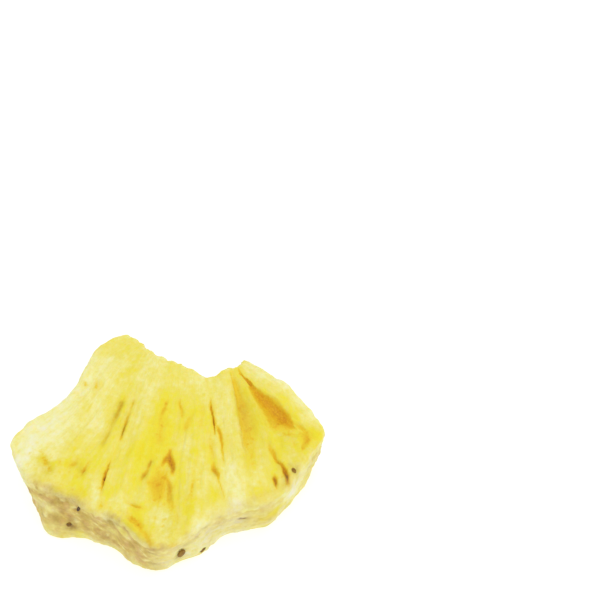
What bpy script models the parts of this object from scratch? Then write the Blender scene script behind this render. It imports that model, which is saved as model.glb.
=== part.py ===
"""One piece of freeze-dried pineapple: about a quarter of a peeled and cored ring.

Two knife cuts run from the core hole to the rind side. The rind side keeps the scalloped edge of
the trimmed eyes, and the top is creased along the fibres, with gaps between the bundles. The piece
lies on its flat lower cut face. Plan places are in millimetres from the ring's centre, with the
rind side towards -Y, and angles are degrees from -Y, positive towards +X. The finished mesh is in
metres, with its origin under the middle of the piece.
"""

import math

import bmesh
import bpy
from mathutils import Matrix, Vector, noise
from mathutils.bvhtree import BVHTree

MM = 0.001
NAME = "pineapple_slice"

# The ring that the piece was cut from
THICKNESS = 12.5
RING_RADIUS = 47.4
CORE_RADIUS = 16.6
CORE_CENTRE = Vector((3.9, 0.15))
CORE_EDGE_ANGLES = (-63.0, 25.5)
RIND_EDGE_ANGLES = (-42.2, 41.0)

# Lobes of the edges: angle, how far each stands out, and its half width in degrees
RIM_LOBES = ((-31.0, 0.9, 3.0), (-15.0, 1.0, 4.0), (-1.4, 5.6, 5.0), (21.0, 0.6, 3.0))
FOOT_LOBES = ((-27.0, 3.6, 3.6), (-18.0, 1.0, 4.0), (-4.5, 4.6, 5.5), (5.5, 1.5, 2.4), (20.5, 0.7, 3.0))
CORE_NOTCHES = ((-66.0, 1.8, 5.0), (3.0, 2.1, 6.5), (18.0, 0.9, 3.0))

# Straight trims of the rind corners: the way each one faces, and its distance from the centre
RIM_TRIMS = ((-61.1, 42.6), (58.8, 39.2))
FOOT_TRIMS = ((-61.1, 42.5), (52.4, 39.8), (75.0, 31.6))
TRIM_BLEND = 0.5
TRIM_SLANT_LIMIT = 0.2

# The right half of the wall runs inwards to its foot: how far, and between which angles it starts
UNDERCUT = 1.7
UNDERCUT_ANGLES = (-2.0, 12.0)
WALL_FADE = 8.0
CUT_WALL_WAIST = 0.7

# Waves of the two knife cuts: share of the cut's length, bulge outwards, and half width of it
LEFT_CUT_WAVES = ((0.21, 1.9, 0.10), (0.57, -1.5, 0.13), (0.86, 0.2, 0.08))
RIGHT_CUT_WAVES = ((0.50, 2.0, 0.30),)
CUT_WAVE_REACH = 5.0
CORNER_ROUNDING = 0.04
CORNER_SHARPNESS = 8

# Folds of the top: the two ends on the plan, the half widths there, and the depths there
FOLDS = (
    ((10.2, -18.3), (14.2, -23.4), 0.7, 1.1, 0.9, 2.2),
    ((14.2, -23.4), (18.9, -28.2), 1.2, 2.0, 2.4, 3.6),
    ((9.3, -19.5), (11.0, -25.5), 1.1, 1.7, 0.5, 1.3),
    ((11.0, -25.5), (13.2, -38.5), 1.7, 2.2, 1.4, 0.5),
    ((-0.9, -35.4), (-1.9, -43.8), 0.9, 2.2, 1.9, 0.8),
    ((-8.5, -23.8), (-10.1, -32.6), 0.8, 0.8, 0.5, 0.9),
    ((-11.6, -38.0), (-11.9, -44.5), 0.8, 0.9, 1.0, 0.6),
    ((5.4, -24.0), (7.0, -33.0), 0.8, 0.9, 0.6, 1.2),
    ((7.0, -33.0), (8.8, -43.5), 0.8, 0.9, 1.0, 0.6),
    ((16.4, -33.8), (20.0, -41.0), 0.8, 1.1, 0.5, 1.2),
    ((-6.0, -45.8), (-3.2, -50.5), 0.8, 1.0, 0.6, 0.8),
)

# Swellings of the top between the folds: place, half widths across and along, and height
SWELLINGS = (
    ((7.6, -21.5), (2.0, 4.5), 0.5),
    ((17.8, -22.8), (2.4, 3.8), 0.7),
    ((3.4, -33.0), (2.4, 8.0), 0.4),
    ((-5.6, -33.0), (2.2, 8.0), 0.4),
    ((-21.5, -33.5), (4.5, 5.0), 0.4),
)
BUNDLES = 15.0
BUNDLE_HEIGHT = 0.45
BUNDLE_WANDER = 1.7
UNEVENNESS = 0.45
UNEVENNESS_SIZE = 9.0
WALL_UNEVENNESS = 0.5
WALL_BUMP_SIZE = 4.0

# Mesh of the top and of the wall
COLUMNS = 60
ROWS = 38
EDGE_GATHERING = 0.45
RIM_RADIUS = 1.0
FOOT_RADIUS = 0.7
WALL_LAYERS = (0.16, 0.34, 0.54, 0.74, 0.90)
FOOT_TURNS = (45.0, 90.0)

# Seeds in the rind side: angle, height of the middle, length, width, and turn from upright
WALL_SEEDS = (
    (-19.2, 10.0, 1.8, 1.1, 15.0),
    (-22.2, 4.7, 1.6, 1.1, -20.0),
    (1.9, 5.8, 2.0, 1.5, 10.0),
    (6.0, 2.6, 1.7, 1.1, 25.0),
)
TOP_SEEDS = ((20.7, -38.6, 1.8, 1.1, 35.0),)
SEED_THICKNESS_SHARE = 0.7
SEED_SUNK_SHARE = 0.1
FAR_OUT = 80.0

FLESH_COLOUR = (0.86, 0.74, 0.24, 1.0)
FLESH_ROUGHNESS = 0.72


def mix(a, b, share):
    """The value at a share of the way from a to b."""
    return a + (b - a) * share


def ease(x):
    """A smooth step from 0 to 1."""
    x = min(1.0, max(0.0, x))
    return x * x * (3 - 2 * x)


def bell(x, middle, half_width):
    """A smooth hump of height 1."""
    return math.exp(-(((x - middle) / half_width) ** 2) / 2)


def humps(x, rows):
    """The sum of several humps, each given by its middle, height and half width."""
    return sum(height * bell(x, middle, half_width) for middle, height, half_width in rows)


def direction(degrees):
    """Plan direction at an angle from -Y."""
    turn = math.radians(degrees)
    return Vector((math.sin(turn), -math.cos(turn)))


def trimmed_radius(angle, radius, trims):
    """A radius cut back by straight trims, with the corners between them eased."""
    for facing, distance in trims:
        slant = max(TRIM_SLANT_LIMIT, math.cos(math.radians(angle - facing)))
        gap = radius - distance / slant
        radius -= (gap + math.sqrt(gap * gap + TRIM_BLEND)) / 2
    return radius


def rim_radius(angle):
    """Radius of the rind side along the rim of the top face."""
    return trimmed_radius(angle, RING_RADIUS + humps(angle, RIM_LOBES), RIM_TRIMS)


def foot_radius(angle):
    """Radius of the rind side at its foot, drawn in under the right half."""
    start, end = UNDERCUT_ANGLES
    drawn_in = UNDERCUT * ease((angle - start) / (end - start))
    return trimmed_radius(angle, RING_RADIUS + humps(angle, FOOT_LOBES) - drawn_in, FOOT_TRIMS)


def plan_point(across, along):
    """Plan place at a share across from the left cut, and a share along from core to rind."""
    core_angle = mix(*CORE_EDGE_ANGLES, across)
    rind_angle = mix(*RIND_EDGE_ANGLES, across)
    core_radius = CORE_RADIUS + humps(core_angle, CORE_NOTCHES)
    core = CORE_CENTRE + direction(core_angle) * core_radius
    rind = direction(rind_angle) * rim_radius(rind_angle)
    core_length = math.radians(CORE_EDGE_ANGLES[1] - CORE_EDGE_ANGLES[0]) * CORE_RADIUS
    rind_length = math.radians(RIND_EDGE_ANGLES[1] - RIND_EDGE_ANGLES[0]) * RING_RADIUS
    width = mix(core_length, rind_length, along)
    left_shift = humps(along, LEFT_CUT_WAVES) * math.exp(-across * width / CUT_WAVE_REACH)
    right_shift = humps(along, RIGHT_CUT_WAVES) * math.exp((across - 1) * width / CUT_WAVE_REACH)
    run = (rind - core).normalized()
    leftwards = Vector((run.y, -run.x))
    return core.lerp(rind, along) + leftwards * (left_shift - right_shift)


def gathered(share):
    """Moves a grid line towards the nearer edge, where the rounding needs it."""
    return mix(share, 0.5 - 0.5 * math.cos(math.pi * share), EDGE_GATHERING)


def lay_out_top(bm):
    """The top face as a flat grid that fans out from the core edge to the rind edge."""
    bmesh.ops.create_grid(bm, x_segments=COLUMNS, y_segments=ROWS, size=1.0)
    across_layer = bm.verts.layers.float.new("across")
    along_layer = bm.verts.layers.float.new("along")
    for vert in bm.verts:
        x, y = vert.co.x, -vert.co.y
        pull = 1 - CORNER_ROUNDING * (x * y) ** CORNER_SHARPNESS
        vert[across_layer] = 0.5 + (gathered((1 + x) / 2) - 0.5) * pull
        vert[along_layer] = 0.5 + (gathered((1 + y) / 2) - 0.5) * pull
        vert.co = plan_point(vert[across_layer], vert[along_layer]).to_3d()


def rim_in_order(bm):
    """The border of the grid as one loop of vertices."""
    first = next(edge for edge in bm.edges if edge.is_boundary)
    rim = [first.verts[0], first.verts[1]]
    while True:
        borders = [edge for edge in rim[-1].link_edges if edge.is_boundary]
        onward = [edge.other_vert(rim[-1]) for edge in borders]
        ahead = onward[0] if onward[0] is not rim[-2] else onward[1]
        if ahead is rim[0]:
            return rim
        rim.append(ahead)


def outward_directions(rim):
    """Plan direction out of the piece at each vertex of the rim."""
    places = [vert.co.to_2d() for vert in rim]
    count = len(places)
    runs = [(places[(index + 2) % count] - places[index - 2]).normalized() for index in range(count)]
    area = sum(places[index - 1].cross(places[index]) for index in range(count))
    sense = 1.0 if area > 0 else -1.0
    return [Vector((run.y, -run.x)) * sense for run in runs]


def line_distance(point, start, end):
    """Distance on the plan from a point to a straight stretch."""
    run = end - start
    share = min(1.0, max(0.0, (point - start).dot(run) / run.length_squared))
    return (point - start - run * share).length, share


def fold_depth(point, fold):
    """Depth of one fold at a plan point."""
    start, end, start_width, end_width, start_depth, end_depth = fold
    away, share = line_distance(point, Vector(start), Vector(end))
    return mix(start_depth, end_depth, share) * math.exp(-((away / mix(start_width, end_width, share)) ** 2))


def swelling_height(point, swelling):
    """Height of one swelling at a plan point."""
    (x, y), (half_across, half_along), height = swelling
    return height * bell(point.x, x, half_across) * bell(point.y, y, half_along)


def top_height(point, across, along, to_rim):
    """Height of the top face, with its bundles, swellings and folds, rounded down to the rim."""
    height = THICKNESS + sum(swelling_height(point, swelling) for swelling in SWELLINGS)
    height += UNEVENNESS * noise.noise(point.to_3d() / UNEVENNESS_SIZE)
    height += BUNDLE_HEIGHT * noise.noise(Vector((across * BUNDLES, along * BUNDLE_WANDER, 0.0)))
    deepest = max(fold_depth(point, fold) for fold in FOLDS)
    height -= deepest * ease(to_rim / RIM_RADIUS / 2)
    short = max(0.0, RIM_RADIUS - to_rim)
    return height - RIM_RADIUS + math.sqrt(RIM_RADIUS**2 - short**2)


def raise_top(bm, rim):
    """Gives the flat grid its height."""
    across_layer = bm.verts.layers.float["across"]
    along_layer = bm.verts.layers.float["along"]
    border = [vert.co.to_2d() for vert in rim]
    count = len(border)
    for vert in bm.verts:
        point = vert.co.to_2d()
        near = min(range(count), key=lambda index: (border[index] - point).length_squared)
        before, _ = line_distance(point, border[near - 1], border[near])
        after, _ = line_distance(point, border[near], border[(near + 1) % count])
        vert.co.z = top_height(point, vert[across_layer], vert[along_layer], min(before, after))


def wall_point(point, out, top, height):
    """Place on the wall under a rim point, at a height above the foot."""
    share = 1 - height / top
    angle = math.degrees(math.atan2(point.x, -point.y))
    rim = rim_radius(angle)
    on_rind = ease(1 - (rim - point.length) / WALL_FADE)
    place = point + direction(angle) * (foot_radius(angle) - rim) * on_rind * share
    rise = math.sin(math.pi * share)
    bump = WALL_UNEVENNESS * noise.noise(Vector((place.x, place.y, height)) / WALL_BUMP_SIZE)
    place += out * (bump - CUT_WALL_WAIST * (1 - on_rind)) * rise
    return Vector((place.x, place.y, height))


def foot_point(point, out, top, turn):
    """Place on the rounded foot of the wall, from upright at 0 degrees to flat at 90."""
    turn = math.radians(turn)
    place = wall_point(point, out, top, FOOT_RADIUS)
    place -= (out * FOOT_RADIUS * (1 - math.cos(turn))).to_3d()
    place.z = FOOT_RADIUS * (1 - math.sin(turn))
    return place


def edges_round(bm, ring):
    """The edges between the vertices of a ring."""
    return [bm.edges.get((ring[index - 1], ring[index])) for index in range(len(ring))]


def pull_down(bm, ring, places):
    """Extrudes a ring of edges to new places, and gives back the new ring in the same order."""
    made = bmesh.ops.extrude_edge_only(bm, edges=edges_round(bm, ring))["geom"]
    fresh = {item for item in made if isinstance(item, bmesh.types.BMVert)}
    below = {}
    for vert in fresh:
        above = next(edge.other_vert(vert) for edge in vert.link_edges
                     if edge.other_vert(vert) not in fresh)
        below[above] = vert
    lower = [below[vert] for vert in ring]
    for vert, place in zip(lower, places):
        vert.co = place
    return lower


def add_wall(bm, rim):
    """Pulls the rim down in layers to a rounded foot, and closes the flat lower face."""
    outs = outward_directions(rim)
    tops = [vert.co.copy() for vert in rim]
    ring = rim
    for share in WALL_LAYERS:
        places = [wall_point(top.to_2d(), out, top.z, mix(top.z, FOOT_RADIUS, share))
                  for top, out in zip(tops, outs)]
        ring = pull_down(bm, ring, places)
    for turn in (0.0, *FOOT_TURNS):
        places = [foot_point(top.to_2d(), out, top.z, turn) for top, out in zip(tops, outs)]
        ring = pull_down(bm, ring, places)
    bmesh.ops.edgeloop_fill(bm, edges=edges_round(bm, ring))


def build_slice():
    """The piece without its seeds, in millimetres from the ring's centre."""
    bm = bmesh.new()
    lay_out_top(bm)
    rim = rim_in_order(bm)
    raise_top(bm, rim)
    add_wall(bm, rim)
    bmesh.ops.recalc_face_normals(bm, faces=bm.faces)
    return bm


def seed_places(tree):
    """Where the seeds sit: place, surface direction, length, width and turn of each."""
    for angle, height, length, width, turn in WALL_SEEDS:
        outside = (direction(angle) * FAR_OUT).to_3d()
        outside.z = height
        place, normal, _, _ = tree.ray_cast(outside, -direction(angle).to_3d())
        yield place, normal, length, width, turn
    for x, y, length, width, turn in TOP_SEEDS:
        place, normal, _, _ = tree.ray_cast(Vector((x, y, FAR_OUT)), Vector((0, 0, -1)))
        yield place, normal, length, width, turn


def seed_mesh(place, normal, length, width, turn):
    """An oval seed that lies along the surface, sunk a little into it."""
    bm = bmesh.new()
    bmesh.ops.create_icosphere(bm, subdivisions=1, radius=0.5)
    shape = Matrix.Diagonal((width, length, width * SEED_THICKNESS_SHARE, 1.0))
    spin = Matrix.Rotation(math.radians(turn), 4, "Z")
    upright = normal.to_track_quat("Z", "Y").to_matrix().to_4x4()
    sunk = Matrix.Translation(place - normal * width * SEED_SUNK_SHARE)
    bmesh.ops.transform(bm, matrix=sunk @ upright @ spin @ shape, verts=bm.verts)
    mesh = bpy.data.meshes.new("seed")
    bm.to_mesh(mesh)
    bm.free()
    return mesh


def join_seeds(piece, meshes):
    """Joins the seeds onto the piece with one union, and removes their own objects."""
    seeds = bpy.data.collections.new("seeds")
    bpy.context.scene.collection.children.link(seeds)
    for mesh in meshes:
        seeds.objects.link(bpy.data.objects.new("seed", mesh))
    union = piece.modifiers.new("seeds", "BOOLEAN")
    union.operation = "UNION"
    union.operand_type = "COLLECTION"
    union.collection = seeds
    union.solver = "EXACT"
    bpy.context.view_layer.update()
    joined = bpy.data.meshes.new_from_object(piece.evaluated_get(bpy.context.evaluated_depsgraph_get()))
    piece.modifiers.clear()
    piece.data = joined
    joined.name = NAME
    for seed in list(seeds.objects):
        bpy.data.objects.remove(seed)
    bpy.data.collections.remove(seeds)


def flesh_material():
    """Dry, matt, pale yellow fruit flesh."""
    material = bpy.data.materials.new("dried_flesh")
    material.use_nodes = True
    shader = material.node_tree.nodes["Principled BSDF"]
    shader.inputs["Base Color"].default_value = FLESH_COLOUR
    shader.inputs["Roughness"].default_value = FLESH_ROUGHNESS
    shader.inputs["Metallic"].default_value = 0.0
    return material


def centre_on_origin(mesh):
    """Turns millimetres into metres, and puts the origin under the middle of the piece."""
    places = [vert.co for vert in mesh.vertices]
    low = Vector([min(place[axis] for place in places) for axis in range(3)])
    high = Vector([max(place[axis] for place in places) for axis in range(3)])
    middle = (low + high) / 2
    mesh.transform(Matrix.Scale(MM, 4) @ Matrix.Translation((-middle.x, -middle.y, -low.z)))


def main():
    for old in list(bpy.data.objects):
        bpy.data.objects.remove(old)
    bm = build_slice()
    seeds = [seed_mesh(*seed) for seed in seed_places(BVHTree.FromBMesh(bm))]
    mesh = bpy.data.meshes.new(NAME)
    bm.to_mesh(mesh)
    bm.free()
    piece = bpy.data.objects.new(NAME, mesh)
    bpy.context.scene.collection.objects.link(piece)
    mesh.materials.append(flesh_material())
    join_seeds(piece, seeds)
    centre_on_origin(piece.data)
    piece.data.shade_smooth()


main()
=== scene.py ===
"""One piece of freeze-dried pineapple: about a quarter of a peeled and cored ring, on a pale floor.

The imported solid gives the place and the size. Plan places below are in millimetres from the centre
of the ring that the piece was cut from, with the rind side towards -Y, and angles are degrees from
-Y, positive towards +X.
"""
import math

import bmesh
import bpy
import numpy as np
from mathutils import Matrix, Vector, noise


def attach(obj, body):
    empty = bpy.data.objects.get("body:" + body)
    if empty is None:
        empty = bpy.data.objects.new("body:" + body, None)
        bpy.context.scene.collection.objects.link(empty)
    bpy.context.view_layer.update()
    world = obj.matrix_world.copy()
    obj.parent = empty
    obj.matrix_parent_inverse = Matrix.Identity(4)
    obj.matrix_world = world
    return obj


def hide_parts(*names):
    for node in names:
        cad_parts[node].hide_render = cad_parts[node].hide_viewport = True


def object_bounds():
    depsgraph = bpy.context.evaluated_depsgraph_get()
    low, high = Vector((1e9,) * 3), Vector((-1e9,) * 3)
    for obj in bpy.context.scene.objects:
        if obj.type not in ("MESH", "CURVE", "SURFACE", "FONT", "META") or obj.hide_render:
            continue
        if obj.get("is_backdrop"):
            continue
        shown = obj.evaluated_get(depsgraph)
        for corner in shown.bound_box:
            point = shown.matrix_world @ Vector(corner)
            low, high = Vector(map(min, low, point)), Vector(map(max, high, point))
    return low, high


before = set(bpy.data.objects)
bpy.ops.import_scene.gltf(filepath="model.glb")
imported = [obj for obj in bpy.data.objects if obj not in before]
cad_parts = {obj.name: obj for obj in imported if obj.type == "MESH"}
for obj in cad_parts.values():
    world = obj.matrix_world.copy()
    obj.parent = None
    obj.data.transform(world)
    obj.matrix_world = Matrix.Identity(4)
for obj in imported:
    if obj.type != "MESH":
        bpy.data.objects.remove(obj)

cad_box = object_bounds()

# The flesh
# A peeled and cored ring is cut across the fruit and then into wedges, and dried frozen, so it
# keeps its form as a light, matt foam. Its bundles of fibre fan out from the core to the rind.

MM = 0.001
RING_CENTRE = np.array((1.4086, 30.8176))
THICKNESS = 12.5
RING_RADIUS = 47.4
CORE_RADIUS = 16.6
CORE_CENTRE = np.array((3.9, 0.15))

# Fibres that are straight on the plan: the angle where each leaves the core, and meets the rind
FIBRES = ((-63.0, -42.2), (-56.0, -39.2), (-46.0, -33.5), (-38.5, -20.5), (-28.0, -12.0), (-14.0, -1.0),
          (-4.0, 6.0), (6.0, 11.5), (16.0, 18.5), (19.0, 26.5), (21.5, 36.0), (25.5, 41.0))
FIBRE_SMOOTHING = 0.03

# Lobes of the edges: angle, how far each stands out, and its half width in degrees
RIM_LOBES = ((-35.0, -0.8, 2.0), (-31.0, 0.9, 3.0), (-15.0, 1.0, 4.0), (-1.4, 5.6, 5.0), (21.0, 0.6, 3.0))
FOOT_LOBES = (
    (-35.0, -0.7, 2.0), (-27.0, 3.6, 3.6), (-18.0, 1.0, 4.0), (-4.5, 4.6, 5.5), (5.5, 1.5, 2.4),
    (20.5, 0.7, 3.0),
)
CORE_NOTCHES = ((-66.0, 1.8, 5.0), (3.0, 2.1, 6.5), (18.0, 0.9, 3.0))

# Straight trims at the corners: the angle that each faces, and its distance from the centre
RIM_TRIMS = ((-61.1, 42.6), (58.8, 39.2))
FOOT_TRIMS = ((-61.1, 42.5), (52.4, 39.8), (75.0, 31.6))
TRIM_BLEND = 0.5
TRIM_SLANT_LIMIT = 0.2
UNDERCUT = 1.7
UNDERCUT_ANGLES = (-2.0, 12.0)

# Waves of the knife cuts: share of the way from core to rind, how far out, and half width
LEFT_CUT_WAVES = ((0.21, 1.9, 0.10), (0.57, -1.5, 0.13), (0.86, 0.2, 0.08))
RIGHT_CUT_WAVES = ((0.50, 2.0, 0.30),)
CUT_WAVE_REACH = 5.0
CORNER_ROUNDING = 0.04
CORNER_SHARPNESS = 8
EDGE_GATHERING = 0.45
RAGGED_CORE = 0.35
RAGGED_SIZE = 1.3
RAGGED_FADE = 12
DEGREES_IN_RADIAN = 57.3


def mix(a, b, share):
    """The value at a share of the way from a to b."""
    return a + (b - a) * share


def ease(x):
    """A smooth step from 0 to 1."""
    x = np.clip(x, 0.0, 1.0)
    return x * x * (3 - 2 * x)


def bell(x, middle, half_width):
    """A smooth hump of height 1."""
    return np.exp(-(((x - middle) / half_width) ** 2) / 2)


def humps(x, rows):
    """The sum of several humps, each given by its middle, height and half width."""
    return sum(height * bell(x, middle, half_width) for middle, height, half_width in rows)


def direction(degrees):
    """Plan directions at angles from -Y."""
    turn = np.radians(degrees)
    return np.stack((np.sin(turn), -np.cos(turn)), axis=-1)


def grain(*axes):
    """Smooth noise, from about -0.5 to 0.5, at places given by their coordinates."""
    places = np.stack(np.broadcast_arrays(*axes), axis=-1)
    flat = places.reshape(-1, 3).tolist()
    return np.array([noise.noise(place) for place in flat]).reshape(places.shape[:-1])


def trimmed_radius(angle, radius, trims):
    """A radius cut back by straight trims, with the corners between them eased."""
    for facing, distance in trims:
        slant = np.maximum(TRIM_SLANT_LIMIT, np.cos(np.radians(angle - facing)))
        gap = radius - distance / slant
        radius = radius - (gap + np.sqrt(gap * gap + TRIM_BLEND)) / 2
    return radius


def rim_radius(angle):
    """Radius of the rind side along the rim of the top face."""
    return trimmed_radius(angle, RING_RADIUS + humps(angle, RIM_LOBES), RIM_TRIMS)


def foot_radius(angle):
    """Radius of the rind side at its foot, drawn in under the right half."""
    start, end = UNDERCUT_ANGLES
    drawn_in = UNDERCUT * ease((angle - start) / (end - start))
    return trimmed_radius(angle, RING_RADIUS + humps(angle, FOOT_LOBES) - drawn_in, FOOT_TRIMS)


def fibre_angles(across):
    """Where the fibre at a share across leaves the core and meets the rind."""
    core, rind = np.array(FIBRES).T
    run = core * CORE_RADIUS + rind * RING_RADIUS
    share = (run - run[0]) / (run[-1] - run[0])
    reach = FIBRE_SMOOTHING * 4 * across * (1 - across)
    steps = [across + reach * step for step in (-1.0, -0.5, 0.0, 0.5, 1.0)]
    return [sum(np.interp(step, share, ends) for step in steps) / len(steps) for ends in (core, rind)]


def plan_points(across, along):
    """Plan places at a share across from the left cut, and a share along from core to rind."""
    core_angle, rind_angle = fibre_angles(across)
    core_radius = CORE_RADIUS + humps(core_angle, CORE_NOTCHES)
    ragged = RAGGED_CORE * np.exp(-along * RAGGED_FADE)
    core_arc = core_angle * CORE_RADIUS / DEGREES_IN_RADIAN
    core_radius = core_radius + ragged * grain(core_arc / RAGGED_SIZE, 0.0, 4.0)
    core = CORE_CENTRE + direction(core_angle) * core_radius[..., None]
    rind = direction(rind_angle) * rim_radius(rind_angle)[..., None]
    core_length = math.radians(FIBRES[-1][0] - FIBRES[0][0]) * CORE_RADIUS
    rind_length = math.radians(FIBRES[-1][1] - FIBRES[0][1]) * RING_RADIUS
    width = mix(core_length, rind_length, along)
    left_shift = humps(along, LEFT_CUT_WAVES) * np.exp(-across * width / CUT_WAVE_REACH)
    right_shift = humps(along, RIGHT_CUT_WAVES) * np.exp((across - 1) * width / CUT_WAVE_REACH)
    run = rind - core
    run = run / np.linalg.norm(run, axis=-1, keepdims=True)
    leftwards = np.stack((run[..., 1], -run[..., 0]), axis=-1)
    return mix(core, rind, along[..., None]) + leftwards * (left_shift - right_shift)[..., None]


def gathered(share):
    """Moves a grid line towards the nearer edge, where the rounding needs it."""
    return mix(share, 0.5 - 0.5 * np.cos(np.pi * share), EDGE_GATHERING)


COLUMNS = 360
ROWS = 120
LAYERS = 48

column = np.linspace(0.0, 1.0, COLUMNS + 1)[:, None]
row = np.linspace(0.0, 1.0, ROWS + 1)[None, :]
pull = 1 - CORNER_ROUNDING * ((2 * column - 1) * (2 * row - 1)) ** CORNER_SHARPNESS
across = 0.5 + (gathered(column) - 0.5) * pull
along = 0.5 + (gathered(row) - 0.5) * pull
plan = plan_points(across, along)


def edge_distance(places, axis):
    """Distances along the grid lines from the two opposite edges, for each place on the plan."""
    steps = np.linalg.norm(np.diff(places, axis=axis), axis=-1)
    near = np.cumsum(steps, axis=axis)
    near = np.concatenate((np.zeros_like(near.take([0], axis)), near), axis=axis)
    return near, near.take([-1], axis) - near


EDGE_BLEND = 4
LEAST_DISTANCE = 1e-4
edges = [*edge_distance(plan, 0), *edge_distance(plan, 1)]
to_rim = sum((distance + LEAST_DISTANCE) ** -EDGE_BLEND for distance in edges) ** (-1 / EDGE_BLEND)

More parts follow.
